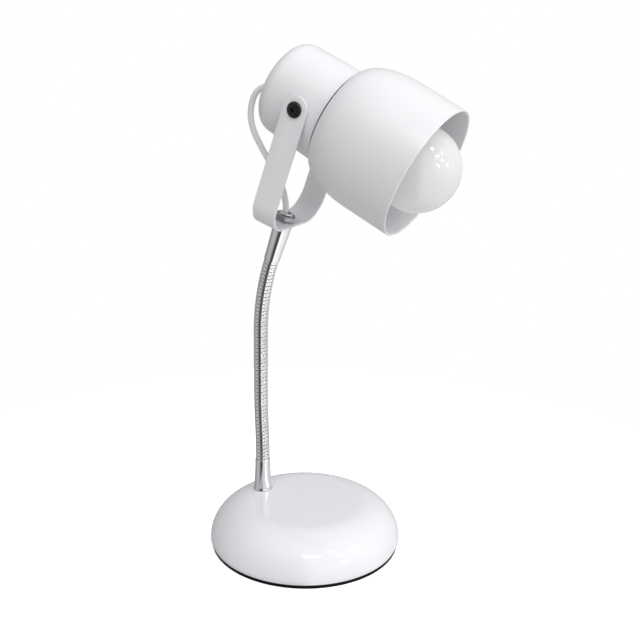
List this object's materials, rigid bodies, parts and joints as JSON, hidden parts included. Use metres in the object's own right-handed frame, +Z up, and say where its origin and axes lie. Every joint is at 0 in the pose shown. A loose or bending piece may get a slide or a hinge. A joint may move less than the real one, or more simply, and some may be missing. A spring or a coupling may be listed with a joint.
{
  "type": "gooseneck desk lamp",
  "caption": "Desk lamp with a domed round weighted base, a bendable wound metal neck, and a bullet head with an open shade and a globe bulb that swivels and tilts in a U-shaped yoke.",
  "frame": {"origin": "centre of the base's rubber pad, on the surface that the lamp stands on", "axes": "+Z up; the head points along +X; the base is round about Z, and the neck rises behind its centre"},
  "size_m": [0.1877, 0.149, 0.3785],
  "materials": {
    "white_lacquer": "gloss",
    "white_enamel": "satin",
    "chrome": "polished",
    "plated_steel": "satin",
    "dark_steel": "matt",
    "cast_iron": "as cast",
    "black_rubber": "matt",
    "black_plastic": "satin",
    "white_plastic": "satin",
    "brass": "bare",
    "opal_glass": "gloss",
    "lead_sheath": "satin"
  },
  "bodies": {
    "base": {"base_shell": "white_lacquer", "base_ballast": "cast_iron", "base_cover": "dark_steel", "base_pad": "black_rubber", "base_screws": "plated_steel", "inlet_grommet": "black_plastic", "terminal_block": "white_plastic", "terminal_screws": "brass", "neck_washer": "plated_steel", "neck_nut": "plated_steel", "lower_ferrule": "chrome", "neck_coil_01": "chrome", "neck_liner_01": "dark_steel", "neck_lead": "lead_sheath"},
    "neck_02": {"neck_coil_02": "chrome", "neck_liner_02": "dark_steel"},
    "neck_03": {"neck_coil_03": "chrome", "neck_liner_03": "dark_steel"},
    "neck_04": {"neck_coil_04": "chrome", "neck_liner_04": "dark_steel"},
    "neck_05": {"neck_coil_05": "chrome", "neck_liner_05": "dark_steel"},
    "neck_06": {"neck_coil_06": "chrome", "neck_liner_06": "dark_steel"},
    "neck_07": {"neck_coil_07": "chrome", "neck_liner_07": "dark_steel"},
    "neck_08": {"neck_coil_08": "chrome", "neck_liner_08": "dark_steel"},
    "neck_09": {"neck_coil_09": "chrome", "neck_liner_09": "dark_steel"},
    "neck_10": {"neck_coil_10": "chrome", "neck_liner_10": "dark_steel"},
    "stem": {"neck_coil_11": "chrome", "neck_liner_11": "dark_steel", "upper_ferrule": "chrome", "yoke_washer": "plated_steel", "yoke_nut": "plated_steel"},
    "yoke": {"yoke": "white_enamel", "head_lead": "lead_sheath"},
    "head": {"pivot_screws": "black_plastic", "pivot_washers": "black_plastic", "rear_housing": "white_enamel", "housing_bush": "black_plastic", "holder_bracket": "dark_steel", "bracket_nuts": "plated_steel", "lampholder_body": "white_plastic", "lampholder_shell": "brass", "lampholder_contact": "brass", "shade_ring": "white_plastic", "shade_spacer": "black_plastic", "shade": "white_enamel"},
    "bulb": {"bulb_glass": "opal_glass", "bulb_cap": "plated_steel", "bulb_contact": "black_plastic"}
  },
  "joints": [
    {"name": "neck_bend_1", "type": "hinge", "parent": "base", "child": "neck_02", "pos_m": [-0.04082, 0, 0.07495], "axis": [0, 1, 0], "range_deg": [-11, 11], "deforming": ["neck_lead"]},
    {"name": "neck_lean_1", "type": "hinge", "parent": "neck_02", "child": "neck_03", "pos_m": [-0.04138, 0, 0.08919], "axis": [0.9986, 0, 0.0523], "range_deg": [-11, 11], "deforming": ["neck_lead"]},
    {"name": "neck_bend_2", "type": "hinge", "parent": "neck_03", "child": "neck_04", "pos_m": [-0.04199, 0, 0.10492], "axis": [0, 1, 0], "range_deg": [-11, 11], "deforming": ["neck_lead"]},
    {"name": "neck_lean_2", "type": "hinge", "parent": "neck_04", "child": "neck_05", "pos_m": [-0.04217, 0, 0.11917], "axis": [1, 0, 0], "range_deg": [-11, 11], "deforming": ["neck_lead"]},
    {"name": "neck_bend_3", "type": "hinge", "parent": "neck_05", "child": "neck_06", "pos_m": [-0.04217, 0, 0.13492], "axis": [0, 1, 0], "range_deg": [-11, 11], "deforming": ["neck_lead"]},
    {"name": "neck_lean_3", "type": "hinge", "parent": "neck_06", "child": "neck_07", "pos_m": [-0.04217, 0, 0.14917], "axis": [1, 0, 0], "range_deg": [-11, 11], "deforming": ["neck_lead"]},
    {"name": "neck_bend_4", "type": "hinge", "parent": "neck_07", "child": "neck_08", "pos_m": [-0.04217, 0, 0.16492], "axis": [0, 1, 0], "range_deg": [-11, 11], "deforming": ["neck_lead"]},
    {"name": "neck_lean_4", "type": "hinge", "parent": "neck_08", "child": "neck_09", "pos_m": [-0.04159, 0, 0.17916], "axis": [0.9966, 0, -0.082], "range_deg": [-11, 11], "deforming": ["neck_lead"]},
    {"name": "neck_bend_5", "type": "hinge", "parent": "neck_09", "child": "neck_10", "pos_m": [-0.03959, 0, 0.19477], "axis": [0, 1, 0], "range_deg": [-11, 11], "deforming": ["neck_lead"]},
    {"name": "neck_lean_5", "type": "hinge", "parent": "neck_10", "child": "stem", "pos_m": [-0.03656, 0, 0.20869], "axis": [0.9677, 0, -0.2521], "range_deg": [-11, 11], "deforming": ["neck_lead"]},
    {"name": "yoke_swivel", "type": "hinge", "parent": "stem", "child": "yoke", "pos_m": [-0.02097, 0, 0.25413], "axis": [0.3387, 0, 0.9409], "range_deg": [-175, 175]},
    {"name": "head_tilt", "type": "hinge", "parent": "yoke", "child": "head", "pos_m": [0.00891, 0, 0.33711], "axis": [-0.0574, 0.9981, 0.0207], "range_deg": [-75, 19], "deforming": ["head_lead"]},
    {"name": "bulb_unscrew", "type": "slide", "parent": "head", "child": "bulb", "axis": [0.8877, 0.0605, -0.4565], "range_m": [0, 0.03]}
  ]
}
